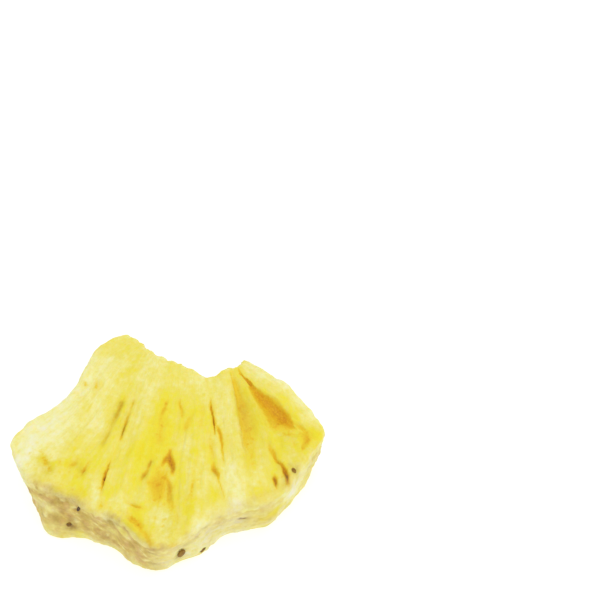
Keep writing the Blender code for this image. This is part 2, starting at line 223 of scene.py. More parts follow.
# Creases of the top, from core to rind. Each stop has its place, half width, depth, and stain: 0 is
# clean, 0.3 golden, 0.6 ochre, 0.8 brown and 1 nearly black. The stain is partly real browning and
# partly painted shade in the creases and hollows.
CREASES = (
    # The split in the right half, which opens into the hollow
    ((10.4, -17.4, 0.14, 0.1, 0.26), (11.2, -19.0, 0.16, 0.3, 0.40), (12.4, -20.4, 0.20, 0.5, 0.60),
     (13.5, -21.8, 0.30, 0.6, 0.42)),
    # The slit in the middle of the right half, and the folds that carry on from it
    ((5.5, -24.2, 0.10, 0.1, 0.20), (5.8, -25.6, 0.11, 0.5, 0.48), (6.15, -27.4, 0.13, 0.7, 0.60),
     (6.5, -29.3, 0.17, 0.8, 0.76), (6.7, -31.6, 0.10, 0.2, 0.35)),
    ((7.1, -30.0, 0.30, 0.1, 0.25), (7.5, -31.0, 0.42, 0.4, 0.42), (8.0, -32.5, 0.36, 0.3, 0.44),
     (8.2, -34.6, 0.16, 0.2, 0.34), (8.7, -37.4, 0.14, 0.1, 0.18)),
    ((5.8, -31.5, 0.50, 0.1, 0.10), (6.3, -34.3, 0.50, 0.2, 0.24), (6.8, -37.0, 0.30, 0.1, 0.10),
     (7.1, -38.8, 0.38, 0.4, 0.46), (7.7, -39.9, 0.34, 0.3, 0.40), (8.2, -41.2, 0.14, 0.1, 0.24),
     (8.8, -43.2, 0.13, 0.1, 0.24), (9.3, -44.8, 0.13, 0.1, 0.10)),
    # The cave in the middle, and the furrows in front of it and beside it. Its stain is partly painted shade.
    ((-0.9, -34.8, 0.24, 0.2, 0.34), (-1.0, -35.8, 0.42, 0.5, 0.52), (-0.9, -36.8, 0.62, 0.7, 0.60),
     (-0.4, -37.8, 0.50, 0.6, 0.60), (-0.1, -38.8, 0.40, 0.4, 0.52), (-0.2, -39.6, 0.35, 0.2, 0.34)),
    ((-1.1, -36.2, 0.40, 0.5, 0.56), (-1.6, -37.0, 0.46, 0.6, 0.54), (-2.0, -37.9, 0.40, 0.4, 0.34)),
    ((-0.9, -40.6, 0.40, 0.2, 0.28), (-0.4, -42.3, 0.52, 0.3, 0.36), (-0.2, -44.4, 0.52, 0.2, 0.28),
     (0.8, -46.5, 0.35, 0.1, 0.12), (1.4, -47.6, 0.32, 0.1, 0.18), (1.5, -49.0, 0.35, 0.1, 0.08)),
    ((3.8, -41.0, 0.30, 0.1, 0.10), (3.6, -42.2, 0.34, 0.2, 0.30), (3.4, -43.6, 0.30, 0.1, 0.12)),
    ((-3.9, -36.8, 0.25, 0.1, 0.16), (-4.2, -37.8, 0.30, 0.3, 0.46), (-4.5, -38.8, 0.30, 0.1, 0.20),
     (-4.9, -39.8, 0.42, 0.4, 0.44), (-5.3, -41.0, 0.35, 0.1, 0.16)),
    # The slits of the left half
    ((-8.4, -23.8, 0.16, 0.1, 0.12), (-8.6, -25.0, 0.24, 0.2, 0.26), (-8.9, -26.8, 0.26, 0.1, 0.14),
     (-9.3, -28.6, 0.30, 0.3, 0.28), (-9.55, -30.6, 0.18, 0.6, 0.52), (-9.9, -32.6, 0.15, 0.2, 0.22)),
    ((-10.4, -23.6, 0.35, 0.1, 0.12), (-10.9, -25.6, 0.42, 0.3, 0.30), (-11.4, -27.4, 0.40, 0.2, 0.28),
     (-12.0, -29.6, 0.45, 0.1, 0.14), (-12.6, -32.0, 0.50, 0.2, 0.22), (-13.2, -33.8, 0.45, 0.1, 0.12)),
    ((-11.2, -36.8, 0.10, 0.2, 0.16), (-11.5, -38.6, 0.11, 0.6, 0.62), (-11.75, -40.4, 0.16, 1.0, 0.88),
     (-11.9, -41.5, 0.13, 0.6, 0.66), (-11.9, -42.7, 0.18, 0.3, 0.26), (-11.8, -44.2, 0.35, 0.1, 0.08),
     (-11.5, -45.8, 0.35, 0.2, 0.20)),
    ((-15.0, -37.2, 0.18, 0.1, 0.16), (-15.5, -39.0, 0.22, 0.2, 0.34), (-16.0, -40.2, 0.20, 0.1, 0.16)),
    ((-17.2, -36.8, 0.35, 0.1, 0.14), (-17.6, -37.7, 0.40, 0.2, 0.30), (-18.2, -38.6, 0.35, 0.1, 0.14)),
    # Creases that set off the lump of the front lobe
    ((-7.3, -44.9, 0.25, 0.2, 0.10), (-6.4, -45.3, 0.30, 0.4, 0.26), (-5.4, -45.9, 0.26, 0.3, 0.40),
     (-4.4, -46.2, 0.25, 0.1, 0.14)),
    ((-7.0, -47.4, 0.50, 0.2, 0.14), (-6.2, -48.1, 0.60, 0.4, 0.32), (-4.8, -49.3, 0.70, 0.5, 0.34),
     (-4.0, -50.4, 0.50, 0.4, 0.22), (-3.4, -51.3, 0.45, 0.4, 0.30), (-2.6, -52.4, 0.40, 0.3, 0.22)),
    ((-2.8, -52.5, 0.20, 0.2, 0.10), (-0.4, -52.6, 0.20, 0.2, 0.14), (1.7, -52.1, 0.22, 0.2, 0.24)),
    # The browned line and slit near the right edge, and blots of the lobes
    ((16.4, -33.4, 0.35, 0.1, 0.16), (17.2, -35.4, 0.38, 0.3, 0.36), (17.9, -37.0, 0.32, 0.4, 0.40),
     (18.9, -37.9, 0.30, 0.4, 0.50), (19.4, -38.8, 0.32, 0.6, 0.64), (19.7, -39.9, 0.26, 0.6, 0.80),
     (19.8, -41.2, 0.40, 0.3, 0.46)),
    ((17.5, -39.8, 0.22, 0.1, 0.3), (17.55, -40.6, 0.28, 0.5, 0.70), (17.9, -41.6, 0.24, 0.4, 0.58),
     (18.1, -42.3, 0.20, 0.1, 0.2)),
    ((17.6, -29.8, 1.00, 0.4, 0.10), (19.2, -30.9, 1.10, 0.7, 0.15), (20.8, -31.6, 1.00, 0.4, 0.12)),
    ((23.0, -31.6, 1.00, 0.2, 0.28), (23.2, -32.7, 0.80, 0.3, 0.40), (22.8, -33.8, 0.80, 0.2, 0.24),
     (22.5, -34.6, 0.40, 0.2, 0.36)),
    ((-22.9, -36.6, 0.60, 0.2, 0.12), (-22.5, -37.4, 0.40, 0.3, 0.30), (-21.8, -38.2, 0.60, 0.2, 0.08),
     (-21.4, -39.0, 0.50, 0.2, 0.18)),
    ((-16.0, -20.4, 0.40, 0.2, 0.16), (-15.8, -21.7, 0.36, 0.2, 0.28)),
    ((-17.9, -20.7, 0.20, 0.1, 0.2), (-17.8, -21.2, 0.20, 0.1, 0.28)),
    ((-2.5, -24.5, 0.25, 0.1, 0.20), (-2.5, -25.0, 0.28, 0.2, 0.44), (-2.6, -25.7, 0.25, 0.1, 0.20),
     (-2.8, -26.6, 0.40, 0.2, 0.36), (-3.1, -28.0, 0.50, 0.1, 0.20), (-3.0, -32.8, 0.70, 0.1, 0.20)),
    ((-0.3, -24.2, 0.20, 0.1, 0.16), (0.1, -25.8, 0.26, 0.2, 0.34), (0.7, -27.8, 0.28, 0.1, 0.24)),
    ((2.1, -28.2, 0.50, 0.1, 0.18), (1.5, -30.3, 0.55, 0.1, 0.24)),
    ((4.3, -26.0, 0.40, 0.1, 0.14), (4.1, -30.1, 0.45, 0.1, 0.14)),
)

# Creases whose sides differ: the stops, and how many times as wide the left and the right side is
LOPSIDED_CREASES = (
    # The hollow in the right half, the smooth floor under its right side, and the fold past its end. The
    # orange of the hollow and of that floor, which has no depth, is partly painted shade.
    (((13.1, -21.6, 0.40, 0.5, 0.40), (14.3, -23.0, 0.70, 0.9, 0.47), (16.0, -24.6, 0.95, 1.1, 0.50),
      (17.6, -26.2, 1.10, 1.2, 0.50), (19.0, -27.9, 1.05, 1.1, 0.52), (20.3, -29.2, 0.75, 0.5, 0.42)),
     1.9, 0.9),
    (((14.4, -24.2, 0.70, 0.0, 0.30), (16.0, -26.8, 1.30, 0.0, 0.34), (17.8, -29.0, 1.70, 0.0, 0.33)),
     1.0, 1.2),
    (((21.0, -29.2, 0.35, 0.3, 0.20), (22.4, -30.2, 0.40, 0.4, 0.26), (23.0, -31.0, 0.45, 0.3, 0.24)),
     1.3, 1.0),
    # The broad worn valley to its left, with a sharp left side
    (((9.0, -18.0, 0.70, 0.2, 0.12), (9.5, -20.4, 0.90, 0.5, 0.26), (10.0, -22.4, 1.10, 0.6, 0.25),
      (10.7, -24.8, 1.50, 0.8, 0.26), (11.3, -27.6, 1.90, 0.8, 0.28), (11.9, -30.8, 2.10, 0.7, 0.26),
      (12.5, -34.5, 1.80, 0.5, 0.18), (13.1, -38.6, 1.50, 0.2, 0.08)), 0.30, 1.0),
    # The channel that runs from the cave to the front lobe
    (((-1.3, -37.8, 0.80, 0.5, 0.02), (-2.0, -39.5, 1.20, 0.6, 0.24), (-2.3, -41.4, 1.40, 0.5, 0.38),
      (-2.0, -43.8, 1.30, 0.2, 0.27)), 1.2, 1.0),
)
# The creases wander: the size of their bends, and how far those go
CREASE_WANDER = ((1.8, 0.22), (0.6, 0.10))
SLIT_SHARPNESS = 2.6
STAIN_AND_SHADE_REACH = 1.1
HALO = 0.26
HALO_REACH = 0.45

# Bundles that stand up between the creases: place, half width and height at each stop
RIDGES = (
    ((7.9, -19.0, 1.3, 0.4), (8.7, -24.5, 1.3, 0.5), (9.9, -31.5, 1.4, 0.5), (11.1, -38.5, 1.5, 0.4),
     (12.0, -44.0, 1.3, 0.2)),
    ((11.3, -19.4, 0.5, 0.2), (13.4, -23.6, 0.6, 0.5), (15.4, -28.0, 0.7, 0.4), (17.2, -33.0, 0.8, 0.2)),
    ((-2.9, -37.6, 0.5, 0.3), (-4.0, -41.5, 0.6, 0.5), (-5.0, -45.5, 0.7, 0.3)),
    ((3.4, -25.0, 1.6, 0.2), (3.6, -33.0, 1.8, 0.4), (4.4, -41.0, 1.8, 0.3)),
    ((-5.9, -25.0, 1.5, 0.2), (-6.2, -33.0, 1.8, 0.4), (-8.0, -42.0, 1.6, 0.3)),
    ((14.6, -20.2, 1.6, 0.4), (18.4, -23.4, 1.8, 0.6), (21.8, -27.4, 1.6, 0.3)),
)
LOBE_RISE = ((-21.5, -33.5), 4.5, 0.4)
UNEVENNESS = 0.45
UNEVENNESS_SIZE = 9.0

# Bundles and faint furrows all over the top: width, length and height of each kind
BUNDLES = ((2.9, 20.0, 0.42), (1.25, 12.0, 0.18), (0.6, 5.0, 0.07))
CORE_FADE = 0.15
CORE_FADE_SHARE = 0.65
LOBE_FADE = 0.4
LOBE_FADE_START = -24.0
LOBE_FADE_WIDTH = 10.0
FAINT_SIZE = (0.9, 9.0)
FAINT_OFFSET = 40.0
FAINT_START = 0.16
FAINT_STEEPNESS = 5
FAINT_DEPTH = 0.12
FAINT_STAIN_AND_SHADE = 0.06
FIBRE_LENGTH = 33.0
FIBRE_SPREAD = 44.0

# The rim of the top is rounded off, more softly to the right of the front lobe: angle, half width
# and how much more
RIM_RADIUS = 1.0
SOFT_RIM = (9.0, 9.0, 1.2)


def beside(points, line):
    """Distances from a line on the plan, the side of it (1 is right), and its values there."""
    stops = np.array(line)
    away = np.full(points.shape[:-1], np.inf)
    side = np.zeros_like(away)
    values = np.zeros((*away.shape, stops.shape[1] - 2))
    for start, end in zip(stops[:-1], stops[1:]):
        run = end[:2] - start[:2]
        share = np.clip((points - start[:2]) @ run / (run @ run), 0.0, 1.0)
        offset = points - start[:2] - share[..., None] * run
        distance = np.linalg.norm(offset, axis=-1)
        nearer = distance < away
        away = np.where(nearer, distance, away)
        side = np.where(nearer, np.sign(run[0] * offset[..., 1] - run[1] * offset[..., 0]), side)
        values[nearer] = mix(start[2:], end[2:], share[..., None])[nearer]
    return away, side, values


def bands(points, lines):
    """Strengths at plan points of several lines, whose stops end in half width and strength."""
    for line in lines:
        away, _, values = beside(points, line)
        yield values[..., 1] * bell(away, 0.0, values[..., 0])


def fibre_grain(share_across, share_along, size, length, level):
    """Noise that is drawn out along the fibres, of a width and a length in millimetres."""
    return grain(share_across * FIBRE_SPREAD / size, share_along * FIBRE_LENGTH / length, level)


def crease_form(points, line, left, right):
    """Depth and stain, partly painted shade, at plan points of one crease, with its sides widened."""
    away, side, values = beside(points, line)
    half_width, depth, stain = np.moveaxis(values, -1, 0)
    reach = half_width * np.where(side > 0, right, left)
    core = stain * np.exp(-((away / reach / STAIN_AND_SHADE_REACH) ** SLIT_SHARPNESS))
    halo = HALO * np.sqrt(stain) * np.exp(-((away / (reach + HALO_REACH)) ** 2))
    return depth * np.exp(-((away / reach) ** SLIT_SHARPNESS)), np.maximum(core, halo)


middle, half_width, extra = SOFT_RIM
plan_x, plan_y = plan[..., 0], plan[..., 1]
plan_angle = np.degrees(np.arctan2(plan_x, -plan_y))
rounding = RIM_RADIUS + extra * bell(plan_angle, middle, half_width) * ease(along * 2)
inside = ease(to_rim / rounding / 2)
core_fade = mix(CORE_FADE, 1.0, ease(along / CORE_FADE_SHARE))
core_fade = core_fade * mix(LOBE_FADE, 1.0, ease((plan_x - LOBE_FADE_START) / LOBE_FADE_WIDTH))
wandering = plan.copy()
for size, rise in CREASE_WANDER:
    for axis in (0, 1):
        wandering[..., axis] += rise * grain(plan_x / size, plan_y / size, size + axis)

faint_grain = fibre_grain(across, along, *FAINT_SIZE, FAINT_OFFSET)
faint = core_fade * ease((faint_grain - FAINT_START) * FAINT_STEEPNESS)
deepest = faint * FAINT_DEPTH
stain = faint * FAINT_STAIN_AND_SHADE
for line, left, right in (*((line, 1.0, 1.0) for line in CREASES), *LOPSIDED_CREASES):
    depth, crease_stain_and_shade = crease_form(wandering, line, left, right)
    deepest = np.maximum(deepest, depth)
    stain = np.maximum(stain, crease_stain_and_shade)

top_height = THICKNESS + UNEVENNESS * grain(plan_x / UNEVENNESS_SIZE, plan_y / UNEVENNESS_SIZE, 0.0)
(x, y), half_width, rise = LOBE_RISE
top_height += rise * bell(np.hypot(plan_x - x, plan_y - y), 0.0, half_width)
for size, length, rise in BUNDLES:
    top_height += rise * core_fade * fibre_grain(across, along, size, length, size)
for rise in bands(plan, RIDGES):
    top_height += rise
top_height -= deepest * inside
short = np.maximum(0.0, rounding - to_rim)
top_height += np.sqrt(rounding**2 - short**2) - rounding
top = np.concatenate((plan, top_height[..., None]), axis=-1)

# The wall goes down from the rim to a rounded foot. Away from the rind side it is drawn in at half
# height.
FOOT_RADIUS = 0.7
FOOT_LAYERS = 6
WALL_FADE = 8.0
CUT_WALL_WAIST = 0.7
WALL_UNEVENNESS = 0.5
WALL_BUMP_SIZE = 4.0
RIM_WINDOW = 6


def border_order():
    """The grid places round the rim, in order."""
    back = [(i, 0) for i in range(COLUMNS)]
    right = [(COLUMNS, j) for j in range(ROWS)]
    front = [(i, ROWS) for i in range(COLUMNS, 0, -1)]
    left = [(0, j) for j in range(ROWS, 0, -1)]
    return np.array(back + right + front + left)


rim_places = border_order()
rim = top[rim_places[:, 0], rim_places[:, 1]]
tangent = np.roll(rim[:, :2], -RIM_WINDOW, axis=0) - np.roll(rim[:, :2], RIM_WINDOW, axis=0)
tangent /= np.linalg.norm(tangent, axis=1, keepdims=True)
following = np.roll(rim, -1, axis=0)
turning = np.sum(rim[:, 0] * following[:, 1] - rim[:, 1] * following[:, 0])
outwards = np.stack((tangent[:, 1], -tangent[:, 0]), axis=1) * np.sign(turning)
rim_angle = np.degrees(np.arctan2(rim[:, 0], -rim[:, 1]))
on_rind = ease(1 - (rim_radius(rim_angle) - np.linalg.norm(rim[:, :2], axis=1)) / WALL_FADE)


def wall_ring(level):
    """Places of one layer of the wall, at a level from the inner foot, 0, to the rim, LAYERS."""
    turn = math.radians(90 * max(0.0, 1 - level / FOOT_LAYERS))
    share_up = max(0.0, (level - FOOT_LAYERS) / (LAYERS - FOOT_LAYERS))
    height = mix(FOOT_RADIUS, rim[:, 2], share_up)
    share = 1 - height / rim[:, 2]
    spread = (foot_radius(rim_angle) - rim_radius(rim_angle)) * on_rind * share
    place = rim[:, :2] + direction(rim_angle) * spread[:, None]
    bump = grain(place[:, 0] / WALL_BUMP_SIZE, place[:, 1] / WALL_BUMP_SIZE, height / WALL_BUMP_SIZE)
    swell = (WALL_UNEVENNESS * bump - CUT_WALL_WAIST * (1 - on_rind)) * np.sin(np.pi * share)
    inward = FOOT_RADIUS * (1 - math.cos(turn))
    place = place + outwards * (swell - inward)[:, None]
    height = height - FOOT_RADIUS * math.sin(turn)
    return np.concatenate((place, height[:, None]), axis=1)


wall = np.stack([wall_ring(level) for level in range(LAYERS + 1)], axis=1)


def underside():
    """The flat lower face: the plan, moved so that its border meets the inner foot."""
    shift = np.zeros_like(plan)
    shift[rim_places[:, 0], rim_places[:, 1]] = wall[:, 0, :2] - rim[:, :2]
    left, right, back, front = shift[:1], shift[-1:], shift[:, :1], shift[:, -1:]
    across_mix = mix(left, right, column[..., None])
    along_mix = mix(back, front, row[..., None])
    corners = mix(mix(left[:, :1], right[:, :1], column[..., None]),
                  mix(left[:, -1:], right[:, -1:], column[..., None]), row[..., None])
    return np.concatenate((plan + across_mix + along_mix - corners, np.zeros((*plan.shape[:-1], 1))), axis=-1)


lower = underside()

# The mesh starts as a box of half size 1 with a grid on each face. The flat underside keeps only
# every third line, except near its border.
BOX_BOTTOM = -0.999
SAME_PLACE = 1e-6
UNDERSIDE_STEP = 3
UNDERSIDE_MARGIN = (0.97, 0.94)


def is_spare(edge):
    """Whether an edge of the box lies inside the underside, on a grid line that it can do without."""
    start, end = (vert.co for vert in edge.verts)
    middle = (start + end) / 2
    is_inside = abs(middle.x) <= UNDERSIDE_MARGIN[0] and abs(middle.y) <= UNDERSIDE_MARGIN[1]
    if max(start.z, end.z) > BOX_BOTTOM or not is_inside:
        return False
    line, count = (middle.y, ROWS) if abs(start.x - end.x) > SAME_PLACE else (middle.x, COLUMNS)
    return round((line + 1) / 2 * count) % UNDERSIDE_STEP != 0


def mesh_from(bm, name):
    """A mesh with a name and the shape of a bmesh, which is freed."""
    mesh = bpy.data.meshes.new(name)
    bm.to_mesh(mesh)
    bm.free()
    return mesh


bm = bmesh.new()
bmesh.ops.create_cube(bm, size=2.0)
for axis, count in enumerate((COLUMNS, ROWS, LAYERS)):
    lines = [edge for edge in bm.edges if abs(edge.verts[0].co[axis] - edge.verts[1].co[axis]) > 1.0]
    bmesh.ops.subdivide_edges(bm, edges=lines, cuts=count - 1, use_grid_fill=True)
bmesh.ops.dissolve_edges(bm, edges=[edge for edge in bm.edges if is_spare(edge)], use_verts=True)
flesh_mesh = mesh_from(bm, "dried_flesh_wedge")

in_box = np.zeros(len(flesh_mesh.vertices) * 3)
flesh_mesh.vertices.foreach_get("co", in_box)
in_box = (in_box.reshape(-1, 3) + 1) / 2
i = np.rint(in_box[:, 0] * COLUMNS).astype(int)
j = np.rint((1 - in_box[:, 1]) * ROWS).astype(int)
level = np.rint(in_box[:, 2] * LAYERS).astype(int)
rim_index = np.zeros((COLUMNS + 1, ROWS + 1), int)
rim_index[rim_places[:, 0], rim_places[:, 1]] = np.arange(len(rim_places))
places = wall[rim_index[i, j], level]
is_top = level == LAYERS
places[is_top] = top[i, j][is_top]
is_lower = (level == 0) & (i > 0) & (i < COLUMNS) & (j > 0) & (j < ROWS)
places[is_lower] = lower[i, j][is_lower]

# Fine relief: the fibres run through the whole wedge, so they show as streaks on the cut faces and
# as a rough crumb where the core side and the rind side cross them
FINE_FIBRES = ((1.0, 9.0, 0.08), (0.45, 5.0, 0.06))
CUT_FIBRES = 1.6
CRUMB = ((3.2, 0.28), (1.5, 0.18), (0.7, 0.09))
CRUMB_OFFSET = 9.0
TOP_CRUMB = 0.5
RIND_CELL = 1.6
RIND_CELL_DEPTH = 0.12
CELL_WALL_SHARPNESS = 1.8
CELL_WARP = 0.35
CELL_WARP_SIZE = 1.1
CELL_WARP_OFFSET = 30.0
UNDERSIDE_RELIEF = 0.4
PIT_DEPTH = 0.2
PIT_REACH = 0.55
PIT_SHARPNESS = 4

# Where a face starts to count as turned up or down, by its normal, and over how much it blends in
UPWARD = (0.25, 0.5)
DOWNWARD = (0.2, 0.6)
RIND_REACH = 3.0
EDGE_REACH = 1.2
LEAST_WALL = 0.01

# The seeds that sit in the rind side and the one in the top: place, length, width, turn from
# upright, and how much paler than black
SEEDS = (
    (-19.4, 10.4, 2.2, 0.6, -22.0, 0.15), (-22.3, 4.6, 1.3, 0.95, -30.0, 0.6),
    (1.7, 5.0, 2.8, 1.5, -8.0, 0.78), (5.8, 1.6, 1.5, 0.9, -35.0, 0.55),
)
TOP_SEED = (21.0, -38.8, 1.25, 0.7, 33.0, 0.75)


def set_places(mesh, spots):
    """Writes places in ring millimetres to a mesh, as metres in the row's frame."""
    moved = (spots + np.array((*RING_CENTRE, 0.0))) * MM
    mesh.vertices.foreach_set("co", moved.astype(np.float32).ravel())
    mesh.update()


def normals_of(mesh):
    """Unit normals at a mesh's vertices."""
    found = np.zeros(len(mesh.vertices) * 3)
    mesh.vertices.foreach_get("normal", found)
    return found.reshape(-1, 3)


def cloud(spots, size, offset):
    """Smooth noise of a size in millimetres. The offset keeps one noise apart from another."""
    return grain(*(spots / size + offset).T)


def cell_walls(spots, size):
    """How close each place is to the wall between two cells, from 0 inside one to 1 on the wall."""
    out = np.zeros(len(spots))
    for index, spot in enumerate((spots / size).tolist()):
        near, _ = noise.voronoi(spot)
        out[index] = 1 - min(1.0, (near[1] - near[0]) * CELL_WALL_SHARPNESS)
    return out


def pit(away, length):
    """The form of the pit round a seed of a length, from 0 far from its middle to 1 there."""
    return np.exp(-((away / (PIT_REACH * length)) ** PIT_SHARPNESS))


def on_rind_side(degrees, height):
    """A place on the rind side, at an angle and a height."""
    out = mix(foot_radius(degrees), rim_radius(degrees), height / THICKNESS)
    return np.array((*(direction(degrees) * out), height))


set_places(flesh_mesh, places)
normal = normals_of(flesh_mesh)
at_across, at_along = across[i, j], along[i, j]
fade = core_fade[i, j]
angle = np.degrees(np.arctan2(places[:, 0], -places[:, 1]))
radius = np.linalg.norm(places[:, :2], axis=1)
rind_radius = mix(foot_radius(angle), rim_radius(angle), places[:, 2] / THICKNESS)
near_rind = ease(1 - (rind_radius - radius) / RIND_REACH)
upward = ease((normal[:, 2] - UPWARD[0]) / UPWARD[1])
downward = ease((-normal[:, 2] - DOWNWARD[0]) / DOWNWARD[1])
sideways = (1 - upward) * (1 - downward)
rind_wall = sideways * near_rind
near_edge = np.maximum(sideways, np.exp(-to_rim[i, j] / EDGE_REACH))

on_cut = sideways * (1 - near_rind)
relief = np.zeros(len(places))
for size, length, rise in FINE_FIBRES:
    fibres = fibre_grain(at_across, at_along, size, length, places[:, 2] / size)
    relief += rise * mix(fade, 1 + CUT_FIBRES, on_cut) * fibres
for size, rise in CRUMB:
    relief += rise * mix(TOP_CRUMB, 1.0, near_edge) * cloud(places, size, CRUMB_OFFSET)
cell_edge = np.zeros(len(places))
on_wall = rind_wall > LEAST_WALL
warp = [cloud(places, CELL_WARP_SIZE, CELL_WARP_OFFSET * axis) for axis in (1, 2, 3)]
warped = places + CELL_WARP * np.stack(warp, axis=1)
cell_edge[on_wall] = cell_walls(warped[on_wall], RIND_CELL)
relief += rind_wall * RIND_CELL_DEPTH * (0.5 - cell_edge)
relief *= mix(1.0, UNDERSIDE_RELIEF, downward)
for degrees, seed_height, length, *_ in SEEDS:
    away = np.linalg.norm(places - on_rind_side(degrees, seed_height), axis=1)
    relief -= PIT_DEPTH * rind_wall * pit(away, length)
away = np.hypot(places[:, 0] - TOP_SEED[0], places[:, 1] - TOP_SEED[1])
relief -= PIT_DEPTH * upward * pit(away, TOP_SEED[2])
places = places + normal * relief[:, None]
places[:, 2] = np.maximum(places[:, 2], 0.0)
set_places(flesh_mesh, places)

# How yellow the flesh is, from 0, cream, to 1, deep yellow: bands with place, half width and change
# at each stop, and spots
BASE_TONE = 0.64
TONE_BANDS = (
    ((-18.5, -15.5, 2.0, -0.30), (-21.5, -24.0, 3.0, -0.40), (-24.5, -30.0, 4.2, -0.42),
     (-26.5, -33.8, 3.6, -0.50)),
    ((-28.6, -31.0, 0.9, 0.16), (-28.4, -34.0, 0.9, 0.10)),
    ((-27.4, -37.0, 1.0, -0.16), (-25.6, -40.0, 1.0, -0.16)),
    ((-16.6, -20.0, 1.2, -0.12), (-17.2, -23.0, 1.2, -0.12)),
    ((-16.6, -25.5, 0.8, 0.14), (-16.4, -28.0, 0.8, 0.12)),
    ((-22.5, -41.5, 1.0, 0.08), (-19.5, -43.0, 1.0, 0.14), (-15.8, -43.8, 1.0, 0.24)),
    ((-10.6, -45.4, 0.8, 0.14), (-8.8, -47.2, 0.8, 0.18), (-5.0, -51.0, 0.8, 0.14)),
    ((-6.4, -42.0, 0.9, -0.14), (-6.2, -45.0, 0.8, -0.18)),
    ((-4.7, -40.5, 0.6, -0.16), (-4.6, -44.5, 0.7, -0.12)),
    ((-1.4, -42.5, 0.6, 0.12), (-1.0, -46.4, 0.6, 0.06)),
    ((-9.6, -18.0, 1.6, 0.12), (-8.6, -21.5, 1.0, 0.10)),
    ((19.4, -25.0, 0.8, 0.06), (21.2, -27.0, 0.9, 0.16)),
    ((9.6, -20.0, 1.0, -0.12), (9.0, -24.0, 0.9, -0.10)),
    ((11.2, -30.0, 0.8, -0.14), (11.9, -34.0, 0.8, -0.14)),
    ((-14.6, -16.0, 1.5, -0.18), (-15.2, -25.0, 1.5, -0.10), (-14.9, -29.5, 1.1, -0.20)),
    ((-2.5, -17.5, 2.0, -0.02), (-2.7, -21.0, 1.6, 0.02), (-2.7, -24.2, 1.0, 0.28),
     (-2.7, -29.0, 1.1, 0.34), (-3.1, -33.0, 1.2, 0.28)),
    ((-3.5, -30.0, 2.6, 0.05), (-4.5, -35.0, 3.0, 0.16), (-5.0, -40.0, 1.8, 0.10)),
    ((-10.6, -23.5, 1.0, 0.10), (-11.0, -27.0, 1.0, 0.20), (-9.8, -30.5, 0.7, 0.16)),
    ((-12.6, -32.5, 0.6, 0.16), (-13.8, -35.5, 1.0, 0.20), (-13.2, -38.8, 1.0, 0.18)),
    ((-15.4, -38.5, 1.0, 0.14), (-15.7, -40.8, 1.1, 0.28), (-15.4, -42.5, 1.0, 0.18),
     (-16.3, -44.5, 1.0, 0.12)),
    ((-23.0, -36.6, 0.6, 0.25), (-21.3, -38.2, 0.6, 0.25), (-16.4, -37.4, 0.5, 0.15)),
    ((-12.9, -41.5, 0.7, -0.26), (-12.6, -44.5, 0.8, -0.38), (-12.9, -45.8, 0.7, -0.30)),
    ((0.0, -24.0, 1.0, 0.08), (0.6, -27.0, 0.9, 0.12)),
    ((-0.6, -34.5, 0.8, 0.14), (0.6, -38.5, 0.7, 0.14), (0.2, -43.5, 0.7, 0.14)),
    ((12.6, -26.0, 0.9, 0.10), (14.0, -31.0, 0.9, 0.12)),
    ((17.4, -32.5, 0.9, -0.12), (18.4, -36.0, 0.8, -0.12)),
    ((18.6, -19.6, 0.9, -0.22), (21.8, -23.6, 0.9, -0.20), (24.6, -28.6, 0.9, -0.18)),
    ((25.0, -31.8, 0.8, 0.34), (24.8, -34.0, 0.8, 0.20)),
    ((14.4, -38.0, 1.0, -0.10), (14.6, -41.5, 1.0, -0.14)),
    ((1.0, -29.8, 1.0, 0.14), (3.0, -27.5, 1.2, 0.14), (5.6, -26.5, 0.6, 0.10), (6.2, -30.0, 0.8, 0.12)),
    ((5.5, -34.5, 0.6, 0.20), (6.4, -37.2, 0.6, 0.20)),
    ((4.0, -40.0, 1.4, -0.08), (6.5, -41.0, 1.6, -0.06)),
    ((9.0, -36.0, 1.0, -0.18), (10.4, -39.5, 1.3, -0.30), (11.0, -44.7, 1.5, -0.38),
     (10.0, -47.0, 1.5, -0.30)),
    ((10.6, -18.5, 1.0, 0.12), (11.6, -24.0, 1.3, 0.12), (13.2, -30.5, 1.3, 0.24), (14.0, -35.5, 1.2, 0.08)),
    ((16.0, -32.0, 0.8, 0.10), (18.0, -36.5, 0.8, 0.16), (19.2, -39.5, 0.8, 0.16)),
    ((12.5, -17.0, 1.2, -0.25), (15.0, -18.6, 1.2, -0.25), (20.5, -23.0, 1.0, -0.15),
     (24.4, -28.0, 1.0, -0.15)),
    ((21.6, -31.0, 1.2, 0.10), (23.2, -32.0, 1.2, 0.42), (22.6, -34.0, 1.2, 0.25)),
    ((0.6, -45.0, 1.0, 0.12), (3.2, -46.4, 1.0, 0.22)),
    ((-6.0, -46.0, 0.8, 0.18), (-5.3, -48.8, 1.0, 0.36), (-3.6, -51.5, 0.8, 0.20)),
    ((-6.4, -16.5, 2.4, -0.12), (-6.6, -22.0, 2.2, -0.18), (-7.0, -28.0, 1.6, -0.22),
     (-8.2, -34.5, 1.1, -0.16)),
    ((-11.5, -18.0, 2.4, -0.14), (-13.4, -24.0, 2.0, -0.14), (-15.5, -31.0, 1.4, -0.08)),
    ((-20.0, -29.5, 1.6, -0.12), (-20.6, -33.0, 1.4, -0.18), (-21.5, -36.8, 1.0, -0.14)),
    ((3.6, -18.5, 2.4, -0.12), (4.4, -23.0, 2.0, -0.10), (8.8, -26.0, 1.2, -0.12), (10.4, -32.0, 1.2, -0.16)),
    ((15.0, -23.5, 1.2, 0.10), (17.0, -28.0, 1.8, 0.18), (19.8, -33.0, 2.0, 0.17), (21.4, -38.0, 1.4, 0.14)),
)
